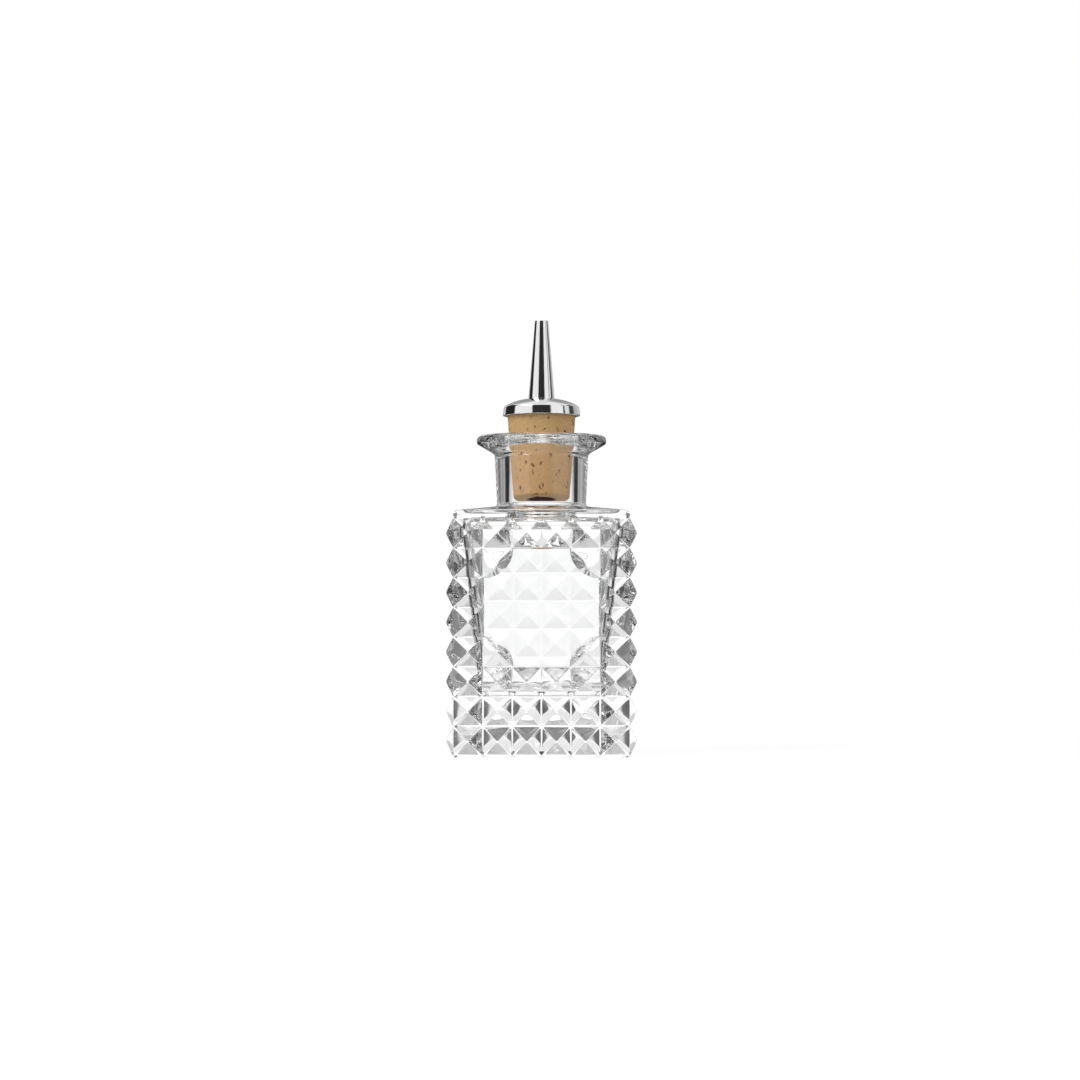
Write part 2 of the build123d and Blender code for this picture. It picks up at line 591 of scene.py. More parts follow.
@dataclass
class GlassBottle:
    """The pressed-glass bottle: studded wall, plain glass, hollow, neck and lip."""

    columns: int = 6
    rows: int = 8
    column_pitch: float = 8.16 * MM
    row_pitch: float = 8.25 * MM
    stud_height: float = 2.2 * MM
    apex_rounding: float = 0.24
    ridge_rounding: float = 0.075
    valley_rounding: float = 0.1
    foot_band: float = 0.35 * MM
    shoulder_band: float = 2.15 * MM
    shoulder_rise: float = 1.9 * MM
    shoulder_edge_radius: float = 1.4 * MM
    shoulder_land: float = 1.8 * MM
    shoulder_corner: float = 1.5 * MM
    shoulder_power: float = 1.5
    corner_onset: float = 8.0
    even_onset: float = 2.0
    punt_radius: float = 19.0 * MM
    punt_depth: float = 1.0 * MM
    floor_thickness: float = 17.0 * MM
    shoulder_wall: float = 3.8 * MM
    floor: HollowEnd = HollowEnd(17.8 * MM, 2.2 * MM, 3.2 * MM, 1)
    ceiling: HollowEnd = HollowEnd(22.0 * MM, 1.9 * MM, 3.5 * MM, -1)
    hollow_corner_least: float = 0.5 * MM
    neck_foot_radius: float = 12.65 * MM
    neck_top_radius: float = 13.35 * MM
    neck_flare_radius: float = 1.2 * MM
    lip_radius: float = 18.5 * MM
    lip_edge_height: float = 2.2 * MM
    lip_underside_rise: float = 3.0 * MM
    lip_root_round: float = 2.0 * MM
    lip_low_round: float = 0.8 * MM
    lip_top_round: float = 1.3 * MM
    mouth_round: float = 3.9 * MM
    throat_round: float = 2.0 * MM
    throat_land: float = 3.0 * MM
    bore_mouth_radius: float = 9.247 * MM
    bore_foot_radius: float = 9.467 * MM
    panel_half_columns: int = 2
    panel_rows: int = 4
    panel_rows_below: int = 3
    panel_depth: float = 0.35 * MM
    panel_draft: float = 45.0
    scoop_steps: int = 20
    draft_steps: int = 6
    cutter_reach: float = 3.3 * MM
    punt_steps: int = 8
    land_steps: int = 10
    edge_steps: int = 8
    wall_steps: int = 24
    floor_steps: int = 10
    waviness: float = 0.1 * MM
    waviness_scale: float = 70.0
    waviness_seed: float = 7.0
    unevenness: float = 0.24 * MM
    unevenness_scale: float = 1.9
    unevenness_level: float = 0.7
    facet_bulge: float = 0.08
    pinned_border: float = 0.001
    snaps: float = 4096.0
    weld_reach: float = 0.003 * MM
    crease: float = 32.0
    border_shares: tuple[float, ...] = (0.0, 0.035, 0.09, 0.22, 0.4, 0.6, 0.78, 0.91, 0.965)
    ring_shares: tuple[float, ...] = (0.05, 0.11, 0.2, 0.34, 0.5, 0.66, 0.82, 0.91, 0.96, 1.0)
    wall_sizes: tuple[str, ...] = (
        "columns", "rows", "column_pitch", "row_pitch", "stud_height", "apex_rounding",
        "ridge_rounding", "valley_rounding", "facet_bulge", "foot_band", "unevenness", "waviness",
    )

    @property
    def half_width(self) -> float:
        """Half the body's width at the valleys."""
        return self.columns * self.column_pitch / 2

    @property
    def studs_top(self) -> float:
        """Height of the valley above the top row."""
        return self.foot_band + self.rows * self.row_pitch

    @property
    def neck_foot(self) -> float:
        """Height of the shoulder's land, where the neck starts."""
        return self.studs_top + self.shoulder_band + self.shoulder_rise

    @property
    def hollow_top(self) -> float:
        """Height of the hollow's ceiling."""
        return self.neck_foot - self.shoulder_wall

    @property
    def lip_top(self) -> float:
        """Height of the lip's top, as in the frame."""
        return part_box("glass_bottle")[1].z

    def ring(self, height: float, half: float, corner: float, evenness: float) -> list[Point]:
        """One ring around the bottle, from square to round.

        Args:
            height: the ring's height.
            half: half its width.
            corner: radius of its corners; equal to half for a circle.
            evenness: 0 for the studs' spacing of points, 1 for even spacing.

        Returns:
            The ring's points, counter-clockwise from the front left corner.
        """
        steps = len(self.border_shares)
        run = half - corner
        side_length = run + corner * math.pi / 4
        points = []
        for side in range(4):
            for index in range(self.columns * steps):
                column, step = divmod(index, steps)
                studded = 2 * (column + self.border_shares[step]) / self.columns - 1
                even = 2 * index / (self.columns * steps) - 1
                along = (studded + (even - studded) * evenness) * side_length
                across, out = along, half
                if abs(along) > run and corner > 0:
                    angle = (abs(along) - run) / corner
                    across = math.copysign(run + corner * math.sin(angle), along)
                    out = run + corner * math.cos(angle)
                cos, sin = ((1, 0), (0, 1), (-1, 0), (0, -1))[side]
                points.append((across * cos + out * sin, across * sin - out * cos, height))
        return points

    def base_rows(self) -> Rows:
        """Rows of the underside, from the middle of the shallow dish to the foot of the studs.

        Returns:
            The rows.
        """
        rows: Rows = [[(0.0, 0.0, self.punt_depth)]]
        sphere = (self.punt_radius**2 + self.punt_depth**2) / (2 * self.punt_depth)
        for step in range(1, self.punt_steps + 1):
            radius = self.punt_radius * step / self.punt_steps
            height = self.punt_depth - sphere + math.sqrt(sphere**2 - radius**2)
            rows.append(self.ring(max(height, 0.0), radius, radius, 1.0))
        half, bevel = self.half_width, self.foot_band / 2
        rows.append(self.ring(0.0, (half + self.punt_radius) / 2, 0.5 * self.punt_radius, 0.5))
        rows.append(self.ring(0.0, half - bevel, bevel, 0.0))
        rows.append(self.ring(self.foot_band, half, 0.0, 0.0))
        return rows

    def shoulder_rows(self) -> Rows:
        """Rows from the valley above the top studs, over the rounded edge, to the foot of the neck.

        Returns:
            The rows.
        """
        half, land = self.half_width, self.neck_foot_radius + self.shoulder_land
        edge = self.studs_top + self.shoulder_band
        corners = [
            (half, self.studs_top, 0.0),
            (half, edge, self.shoulder_edge_radius),
            (land, self.neck_foot, 0.0),
        ]
        path = rounded_path(corners)
        start, end = Vector(path[-2]), Vector(path[-1])
        path[-1:] = [
            tuple(start.lerp(end, step / self.land_steps)) for step in range(1, self.land_steps + 1)
        ]
        rows = []
        for across, height in path:
            share = min(1.0, max(0.0, (half - across) / (half - land)))
            sharp = self.shoulder_corner * min(1.0, self.corner_onset * share) * (1 - share)
            corner = min(across * share**self.shoulder_power + sharp, across)
            rows.append(self.ring(height, across, corner, min(1.0, self.even_onset * share)))
        return rows

    def neck_rows(self) -> Rows:
        """Rows up the neck, over the lip, down the bore and out along the hollow's ceiling.

        Returns:
            The rows.
        """
        low = self.lip_top - self.lip_edge_height
        root = low - self.lip_underside_rise
        start = self.neck_foot_radius + self.shoulder_land
        corners = [
            (start, self.neck_foot, 0.0),
            (self.neck_foot_radius, self.neck_foot, self.neck_flare_radius),
            (self.neck_top_radius, root, self.lip_root_round),
            (self.lip_radius, low, self.lip_low_round),
            (self.lip_radius, self.lip_top, self.lip_top_round),
            (self.bore_mouth_radius, self.lip_top, self.mouth_round),
            (self.bore_foot_radius, self.hollow_top, self.throat_round),
            (self.bore_foot_radius + self.throat_land, self.hollow_top, 0.0),
        ]
        return [self.ring(z, r, r, 1.0) for r, z in rounded_path(corners, steps=8)[1:]]

    def edge_rows(self, end: HollowEnd, flat: float) -> Rows:
        """Rows of the hollow's lower or upper edge, from the wall to the flat.

        Args:
            end: the hollow's sizes there.
            flat: the flat's height.

        Returns:
            The rows.
        """
        rows = []
        for step in range(self.edge_steps + 1):
            angle = math.radians(90 * step / self.edge_steps)
            drawn_in = end.edge * (1 - math.cos(angle))
            corner = end.corner + (self.hollow_corner_least - end.corner) * (drawn_in / end.edge)
            height = flat + end.rise * end.edge * (1 - math.sin(angle))
            rows.append(self.ring(height, end.half - drawn_in, corner, 1.0))
        return rows

    def hollow_rows(self) -> Rows:
        """Rows of the hollow, from its ceiling's edge down the walls to the middle of the floor.

        Returns:
            The rows.
        """
        floor, ceiling = self.floor, self.ceiling
        rows = self.edge_rows(ceiling, self.hollow_top)[::-1]
        top, low = self.hollow_top - ceiling.edge, self.floor_thickness + floor.edge
        for step in range(1, self.wall_steps):
            share = step / self.wall_steps
            half = ceiling.half + (floor.half - ceiling.half) * share
            corner = ceiling.corner + (floor.corner - ceiling.corner) * share
            rows.append(self.ring(top + (low - top) * share, half, corner, 1.0))
        rows += self.edge_rows(floor, self.floor_thickness)
        for step in range(1, self.floor_steps):
            half = (floor.half - floor.edge) * (1 - step / self.floor_steps)
            corner = min(half, self.hollow_corner_least * (1 + step))
            rows.append(self.ring(self.floor_thickness, half, corner, 1.0))
        return rows + [[(0.0, 0.0, self.floor_thickness)]]

    def plain_glass(self) -> Object:
        """Everything but the studded wall, as two shells that meet it at its lower and upper edge.

        Returns:
            The object.
        """
        upper = self.shoulder_rows() + self.neck_rows() + self.hollow_rows()
        glass = skin("plain_glass", [self.base_rows(), upper])
        layer = glass.data.attributes.new("hollow", "FLOAT", "POINT")
        low, high = self.floor_thickness - MM, self.hollow_top + MM
        for vertex, share in zip(glass.data.vertices, layer.data):
            across, deep, height = vertex.co
            beside = max(abs(across), abs(deep)) < self.half_width - MM
            share.value = 1.0 if beside and low < height < high else 0.0
        return glass

    def stud_cell(self) -> Object:
        """Flat square cell, one unit wide, whose rings and spokes follow a pyramid's ridges.

        Returns:
            The cell.
        """
        steps = [2 * share - 1 for share in self.border_shares]
        rows: Rows = [[(0.0, 0.0, 0.0)]]
        for share in self.ring_shares:
            half = share / 2
            edge = [(half * step, -half) for step in steps]
            turns = ((1, 0), (0, 1), (-1, 0), (0, -1))
            rows.append(
                [(x * cos - y * sin, x * sin + y * cos, 0.0) for cos, sin in turns for x, y in edge]
            )
        return skin("stud_cell", [rows[::-1]])

    def panel_outline(self, grow: float) -> Profile:
        """Outline of the panel: a block of studs with a quarter circle scooped out of each corner.

        Args:
            grow: how far the straight edges stand outside the block; the scoops shrink by as much.

        Returns:
            Places across and up from the panel's middle, as many for every grow.
        """
        half = self.panel_half_columns * self.column_pitch
        tall = self.panel_rows * self.row_pitch / 2
        radius = self.column_pitch - grow
        lean = math.asin(grow / radius)
        first, last, steps = lean - math.pi / 2, -math.pi - lean, self.scoop_steps
        arc = [first + (last - first) * step / steps for step in range(steps + 1)]
        quarter = [(half + radius * math.cos(turn), tall + radius * math.sin(turn)) for turn in arc]
        upper = quarter + [(-x, z) for x, z in reversed(quarter)]
        return upper + [(-x, -z) for x, z in upper]

    def panel_cutter(self) -> Object:
        """Block that takes out the panel, with sloping walls all round.

        Returns:
            The cutter.
        """
        floor = -self.half_width + self.panel_depth
        front = floor - self.panel_depth - self.cutter_reach
        spread = math.tan(math.radians(self.panel_draft))
        middle = self.foot_band + (self.panel_rows_below + self.panel_rows / 2) * self.row_pitch
        built = bmesh.new()
        rings = []
        for step in range(self.draft_steps + 1):
            depth = front + (floor - front) * step / self.draft_steps
            outline = self.panel_outline((-self.half_width - depth) * spread)
            rings.append([built.verts.new((x, depth, middle + z)) for x, z in outline])
        built.faces.new(rings[0])
        built.faces.new(list(reversed(rings[-1])))
        for near, deep in zip(rings, rings[1:]):
            for index in range(len(near)):
                ahead = (index + 1) % len(near)
                built.faces.new((near[index], deep[index], deep[ahead], near[ahead]))
        bmesh.ops.triangulate(built, faces=built.faces)
        bmesh.ops.recalc_face_normals(built, faces=built.faces)
        return finished("panel_cutter", built)

    def stud_height_field(self, given: dict[str, Value], u: Value, v: Value) -> tuple[Value, Value]:
        """Height of the studs over the valleys, with rounded apexes, ridges and valleys.

        Args:
            given: the tree's inputs.
            u: place across one side, in columns.
            v: place up the side, in rows.

        Returns:
            The height's share, and the distance from the wall's border, up to one stud.
        """
        compute = u.graph.math
        spans = []
        for place in (u, v):
            within = compute("MULTIPLY_ADD", compute("FRACT", place), 2.0, -1.0)
            spans.append(compute("SMOOTH_MAX", within, within * -1.0, given["Apex Rounding"]))
        fall = compute("MAXIMUM", compute("SMOOTH_MAX", *spans, given["Ridge Rounding"]), 0.0)
        bulge = compute("ADD", given["Facet Bulge"], 1.0)
        height = compute("SUBTRACT", 1.0, compute("POWER", fall, bulge))
        near_side = compute("MINIMUM", u, given["Columns"] - u)
        near_end = compute("MINIMUM", v, given["Rows"] - v)
        border = compute("MINIMUM", near_side, near_end)
        softness = given["Valley Rounding"] * compute("MINIMUM", border * 2.0, 1.0)
        soft = compute("SMOOTH_MAX", height, height * -1.0, softness)
        pinned = compute("GREATER_THAN", border, self.pinned_border)
        return soft * pinned, compute("MINIMUM", border, 1.0)

    def snapped(self, place: Value) -> Value:
        """A place along the wall, rounded so that neighbouring cells agree on it."""
        return place.graph.math("ROUND", place * self.snaps) * (1 / self.snaps)

    def wall_tree(self, values: dict[str, object]) -> NodeTree:
        """Geometry tree: lay out stud cells, raise them, wrap the sides, join and cut the panel.

        Args:
            values: what the tree's inputs will get.

        Returns:
            The tree.
        """
        graph, given = new_geometry_tree("studded_glass", values)
        columns, rows = given["Columns"], given["Rows"]
        around = columns * 4.0
        grid = {"Vertices X": around, "Vertices Y": rows}
        grid |= {"Size X": around - 1.0, "Size Y": rows - 1.0}
        sheet = {"Points": graph.take("GeometryNodeMeshGrid", grid), "Instance": given["Geometry"]}
        cells = graph.take("GeometryNodeInstanceOnPoints", sheet)
        flat = graph.take("GeometryNodeRealizeInstances", {"Geometry": cells})
        place = graph.outputs("ShaderNodeSeparateXYZ", {0: graph.take("GeometryNodeInputPosition")})
        travel = self.snapped(graph.math("MULTIPLY_ADD", around, 0.5, place["X"]))
        v = self.snapped(graph.math("MULTIPLY_ADD", rows, 0.5, place["Y"]))
        side = graph.math("FLOOR", graph.math("DIVIDE", travel, columns))
        u = travel - side * columns
        height, border = self.stud_height_field(given, u, v)
        half = columns * given["Column Pitch"] * 0.5
        out = graph.math("MULTIPLY_ADD", height, given["Stud Height"], half)
        spread = graph.take("ShaderNodeCombineXYZ", {0: travel, 1: v, 2: side})
        ripple = {"Vector": spread, "Scale": self.unevenness_scale, "Detail": 1.0}
        sag = graph.take("ShaderNodeTexNoise", ripple) - self.unevenness_level
        out = graph.math("MULTIPLY_ADD", sag * given["Unevenness"], border, out)
        across = u * given["Column Pitch"] - half
        upward = graph.math("MULTIPLY_ADD", v, given["Row Pitch"], given["Foot Band"])
        spot = graph.take("ShaderNodeCombineXYZ", {0: across, 1: out * -1.0, 2: upward})
        turn = {"Vector": spot, "Angle": side * (math.pi / 2)}
        turned = graph.take("ShaderNodeVectorRotate", turn, rotation_type="Z_AXIS")
        wall = graph.take("GeometryNodeSetPosition", {"Geometry": flat, "Position": turned})
        plain, cutter = (
            graph.take("GeometryNodeObjectInfo", {"Object": given[name]}, "Geometry")
            for name in ("Plain Glass", "Panel Cutter")
        )
        waves = {"Scale": self.waviness_scale, "Detail": 0.0, "W": self.waviness_seed}
        noise = graph.take("ShaderNodeTexNoise", waves, noise_dimensions="4D")
        mark = {"Name": "hollow"}
        hollow = graph.take("GeometryNodeInputNamedAttribute", mark, data_type="FLOAT")
        wavy = graph.push(plain, (noise - 0.5) * given["Waviness"] * hollow)
        joined = graph.add("GeometryNodeJoinGeometry")
        for shell in (wall, wavy):
            graph.feed(joined.inputs[0], shell)
        seams = {"Geometry": Value(graph, joined.outputs[0]), "Distance": self.weld_reach}
        solids = {"Mesh 1": graph.take("GeometryNodeMergeByDistance", seams), "Mesh 2": cutter}
        way = {"operation": "DIFFERENCE", "solver": "MANIFOLD"}
        cut = graph.take("GeometryNodeMeshBoolean", solids, **way)
        return finish_tree(graph, cut, given["Material"])

    def build(self, material: Material) -> Object:
        """Make the finished glass.

        Args:
            material: the glass.

        Returns:
            The bottle's object.
        """
        piece, plain, cutter = self.stud_cell(), self.plain_glass(), self.panel_cutter()
        piece.name = "pressed_bottle"
        values = {name.replace("_", " ").title(): getattr(self, name) for name in self.wall_sizes}
        values |= {"Plain Glass": plain, "Panel Cutter": cutter, "Material": material}
        add_tree(piece, self.wall_tree(values), values)
        for helper in (plain, cutter):
            bpy.data.objects.remove(helper)
        smooth(piece, self.crease)
        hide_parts("glass_bottle")
        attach(piece, Carrier.BOTTLE.value)
        LOG.info("%s: %d faces", piece.name, len(piece.data.polygons))
        return piece


@dataclass
class DashStopper:
    """The lift-out stopper: cork, cap, spout, and the tube and insert inside."""

    cork_length: float = 26.75 * MM
    cork_bottom_radius: float = 8.0 * MM
    cork_top_radius: float = 9.87 * MM
    cork_edge_round: float = 0.7 * MM
    cork_bore_radius: float = 3.8 * MM
    cork_rings: int = 100
    cork_segments: int = 256
    cork_crease: float = 60.0
    cut_slant: float = 0.11
    cut_reach: float = 0.3
    pit_depth: float = 0.25 * MM
    pit_size: float = 1.7 * MM
    pit_share: float = 0.385
    pit_edge: float = 0.06
    pit_seed: float = 5.0
    pit_squeeze: Point = (1.25, 1.25, 0.75)
    flange_radius: float = 6.05 * MM
    flange_thickness: float = 0.6 * MM
    cap_wall: float = 0.84 * MM
    cap_skirt_depth: float = 2.3 * MM
    cap_skirt_gap: float = 0.34 * MM
    cap_skirt_flare: float = 0.31 * MM
    cap_rim_rise: float = 0.35 * MM
    cap_dome_rise: float = 2.2 * MM
    cap_dome_radius: float = 15.0 * MM
    cap_shoulder_round: float = 0.9 * MM
    spout_base_radius: float = 3.74 * MM
    spout_tip_radius: float = 1.92 * MM
    spout_wall: float = 0.55 * MM
    spigot_radius: float = 3.2 * MM
    spigot_gap: float = 0.05 * MM
    seat_land: float = 0.15 * MM
    edge_round: float = 0.2 * MM
    inner_round: float = 0.15 * MM
    foot_round: float = 0.12 * MM
    dome_steps: int = 16
    cap_segments: int = 160
    spout_segments: int = 128
    metal_crease: float = 40.0

    @property
    def cork_top(self) -> float:
        """Height of the cork's upper end, as in the frame."""
        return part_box("cork_stopper")[1].z

    @property
    def spout_seat(self) -> float:
        """Height at which the spout stands on the cap."""
        return self.cork_top + self.cap_rim_rise + self.cap_dome_rise

    def pit_tree(self, values: dict[str, object]) -> NodeTree:
        """Geometry tree: sink scattered pits into the cork and mark them for the material.

        Args:
            values: what the tree's inputs will get.

        Returns:
            The tree.
        """
        graph, given = new_geometry_tree("cork_pits", values)
        pits = {
            "Vector": graph.stretch(graph.take("GeometryNodeInputPosition"), self.pit_squeeze),
            "Scale": graph.math("DIVIDE", 1.0, given["Size"]),
            "Detail": 2.0,
            "W": given["Seed"],
        }
        noise = graph.take("ShaderNodeTexNoise", pits, noise_dimensions="4D")
        edge = graph.math("SUBTRACT", 1.0, given["Share"])
        depth = graph.fit(noise, edge, graph.math("ADD", edge, self.pit_edge))
        mark = {"Geometry": given["Geometry"], "Name": "pit", "Value": depth}
        kind = {"data_type": "FLOAT", "domain": "POINT"}
        marked = graph.take("GeometryNodeStoreNamedAttribute", mark, **kind)
        sunk = graph.push(marked, depth * given["Depth"] * -1.0)
        return finish_tree(graph, sunk, given["Material"])

    def cork(self, material: Material) -> Object:
        """The tapered cork with its pits.

        Args:
            material: the cork.

        Returns:
            The piece.
        """
        bottom, top = (corner.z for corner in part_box("cork_stopper"))
        seat = top - self.flange_thickness
        corners = [
            (self.cork_bore_radius, bottom, 0.0),
            (self.cork_bottom_radius, bottom, self.cork_edge_round),
            (self.cork_top_radius, top, 0.0),
            (self.flange_radius, top, 0.0),
            (self.flange_radius, seat, 0.0),
            (self.cork_bore_radius, seat, 0.0),
        ]
        path = rounded_path(corners)
        foot = path.index((self.cork_top_radius, top))
        start, end, rings = Vector(path[foot - 1]), Vector(path[foot]), self.cork_rings
        path[foot:foot] = [tuple(start.lerp(end, step / rings)) for step in range(1, rings)]
        piece = lathe("tapered_cork", path, self.cork_segments)
        for vertex in piece.data.vertices:
            share = max(0.0, 1 - (vertex.co.z - bottom) / (self.cut_reach * self.cork_length))
            vertex.co.z += share * self.cut_slant * (self.cork_bottom_radius - vertex.co.y)
        values = {"Depth": self.pit_depth, "Size": self.pit_size, "Share": self.pit_share}
        values |= {"Seed": self.pit_seed, "Material": material}
        add_tree(piece, self.pit_tree(values), values)
        smooth(piece, self.cork_crease, even=False)
        return self.dressed(piece, "cork_stopper", "cork")

    def cap(self, material: Material) -> Object:
        """The domed cap with its flared skirt and the flat seat that the spout stands on.

        Args:
            material: the cap's metal.

        Returns:
            The piece.
        """
        top = self.cork_top
        hole = self.spigot_radius + self.spigot_gap
        inner = self.cork_top_radius + self.cap_skirt_gap
        hem = inner + self.cap_wall
        rim = hem - self.cap_skirt_flare
        rim_height = top + self.cap_rim_rise
        seat = self.spout_base_radius + self.seat_land
        dome = self.dome_points((rim, rim_height), (seat, self.spout_seat))
        corners = [
            (hole, top, 0.0),
            (inner - self.cap_skirt_flare, top, self.edge_round),
            (inner, top - self.cap_skirt_depth, self.inner_round),
            (hem, top - self.cap_skirt_depth, self.edge_round),
            (rim, rim_height, self.cap_shoulder_round),
            *[(across, height, 0.0) for across, height in dome],
            (seat, self.spout_seat, 0.0),
            (hole, self.spout_seat, 0.0),
        ]
        piece = lathe("domed_cap", rounded_path(corners, steps=8), self.cap_segments)
        piece.data.materials.append(material)
        smooth(piece, self.metal_crease)
        return self.dressed(piece, "spout_cap", "polished_cap")

    def dome_points(self, rim: Pair, seat: Pair) -> Profile:
        """Points of the dome's arc, inward from beside the rim's rounding.

        Args:
            rim: radius and height of the dome's edge.
            seat: radius and height of the flat seat under the spout.

        Returns:
            The arc's points as radius and height.
        """
        start, end = Vector(rim), Vector(seat)
        chord = end - start
        middle = (start + end) / 2
        away = Vector((-chord.y, chord.x)).normalized()
        if away.y > 0:
            away = -away
        centre = middle + away * math.sqrt(self.cap_dome_radius**2 - (chord.length / 2) ** 2)
        first, last = start - centre, end - centre
        spokes = [first.lerp(last, step / self.dome_steps) for step in range(2, self.dome_steps)]
        return [tuple(centre + spoke.normalized() * self.cap_dome_radius) for spoke in spokes]

    def spout(self, material: Material) -> Object:
        """The tapered spout with its rounded tip, bore and spigot.

        Args:
            material: the spout's metal.

        Returns:
            The piece.
        """
        tip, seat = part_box("pour_spout")[1].z, self.spout_seat
        bore = self.spigot_radius - self.spout_wall
        corners = [
            (bore, self.cork_top, 0.0),
            (self.spigot_radius, self.cork_top, 0.0),
            (self.spigot_radius, seat, 0.0),
            (self.spout_base_radius, seat, self.foot_round),
            (self.spout_tip_radius, tip, self.edge_round),
            (self.spout_tip_radius - self.spout_wall, tip, self.inner_round),
            (bore, seat, 0.0),
        ]
        piece = lathe("tapered_spout", rounded_path(corners, steps=5), self.spout_segments)
        piece.data.materials.append(material)
        smooth(piece, self.metal_crease)
        return self.dressed(piece, "pour_spout", "polished_spout")

    def dressed(self, piece: Object, node: str, slot: str) -> Object:
        """Hide the frame's node that a piece replaces, and hang the piece on the stopper.

        Args:
            piece: the finished piece.
            node: the frame's node that it replaces.
            slot: name of a material slot; not used.

        Returns:
            The piece.
        """
        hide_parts(node)
        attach(piece, Carrier.STOPPER.value)
        LOG.info("%s: %d faces", piece.name, len(piece.data.polygons))
        return piece

    def build(self) -> None:
        """Make the pieces that show and finish the two inside."""
        self.cork(CorkFinish().material())
        self.cap(PlainFinish("polished_cap").material())
        self.spout(PlainFinish("polished_spout").material())
        inside = {
            "stem_tube": PlainFinish("drawn_tube", colour=(0.55, 0.55, 0.56), haze=(0.25, 0.4)),
            "dash_insert": PlainFinish(
                "moulded_plastic", colour=(0.78, 0.77, 0.73), haze=(0.4, 0.55), dimming=0.9,
                haze_scale=2500.0, haze_detail=2.0, ripple=0.0, metallic=0.0,
            ),
        }
        for node, finish in inside.items():
            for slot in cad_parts[node].material_slots:
                slot.material = finish.material()
            LOG.info("%s: finished as packed", node)


